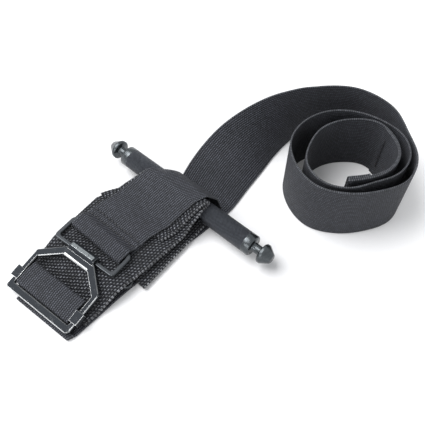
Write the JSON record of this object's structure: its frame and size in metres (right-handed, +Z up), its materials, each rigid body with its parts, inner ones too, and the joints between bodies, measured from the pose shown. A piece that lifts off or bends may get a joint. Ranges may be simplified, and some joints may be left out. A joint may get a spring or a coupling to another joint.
{
  "type": "windlass tourniquet strap",
  "caption": "Folded webbing tourniquet strap with a hook buckle, a rectangular ring, a knurled windlass rod in a stitched webbing stack and a long tail rolled on edge.",
  "frame": {"origin": "on the underside of the strap's bottom run, right below the windlass's axis", "axes": "+X along the strap, from the buckle to the rolled tail; +Y along the windlass; +Z up from the surface the strap lies on"},
  "size_m": [0.2175, 0.1563, 0.038],
  "materials": {
    "smooth_webbing": "fine ribbed matt webbing",
    "coarse_webbing": "coarse chunky matt webbing",
    "thread": "matt twisted thread",
    "anodised_rod": "black anodised, finely knurled",
    "ring_metal": "satin black coated",
    "buckle_metal": "satin black coated with bright edges",
    "clip_steel": "dark spring steel"
  },
  "bodies": {
    "stack": {"long_strap": "smooth_webbing", "tail_hem": "smooth_webbing", "tail_bartack": "thread", "base_pad": "coarse_webbing", "lower_pad": "coarse_webbing", "cover_webbing": "smooth_webbing", "cover_stitching": "thread", "tension_band": "smooth_webbing", "tension_band_stitching": "thread", "tri_ring_keeper": "smooth_webbing", "keeper_stitching": "thread"},
    "windlass": {"windlass": "anodised_rod"},
    "tri_ring": {"tri_ring": "ring_metal"},
    "ring": {"rectangular_ring": "ring_metal"},
    "buckle": {"buckle_frame": "buckle_metal", "hook_clip": "clip_steel", "clip_rivets": "clip_steel"},
    "slider": {"slider_bar": "buckle_metal", "buckle_strap_loop": "smooth_webbing"}
  },
  "joints": [
    {"name": "windlass_turn", "type": "hinge", "parent": "stack", "child": "windlass", "pos_m": [0, 0.0045, 0.0094], "axis": [0, 0, 1], "range_deg": [-3, 3]},
    {"name": "tri_ring_turn", "type": "hinge", "parent": "stack", "child": "tri_ring", "pos_m": [-0.0611, 0.0095, 0.0042], "axis": [0, 0, 1], "range_deg": [-2, 2]},
    {"name": "ring_swing", "type": "hinge", "parent": "stack", "child": "ring", "pos_m": [-0.0503, 0.0186, 0.00975], "axis": [-0.0698, 0.9976, 0], "range_deg": [0, 15]},
    {"name": "buckle_swing", "type": "hinge", "parent": "ring", "child": "buckle", "pos_m": [-0.06387, 0.01765, 0.00975], "axis": [-0.0698, 0.9976, 0], "range_deg": [0, 20]},
    {"name": "slider_slide", "type": "slide", "parent": "buckle", "child": "slider", "axis": [0.9791, 0.0685, 0.1916], "range_m": [0, 0.0035]}
  ]
}
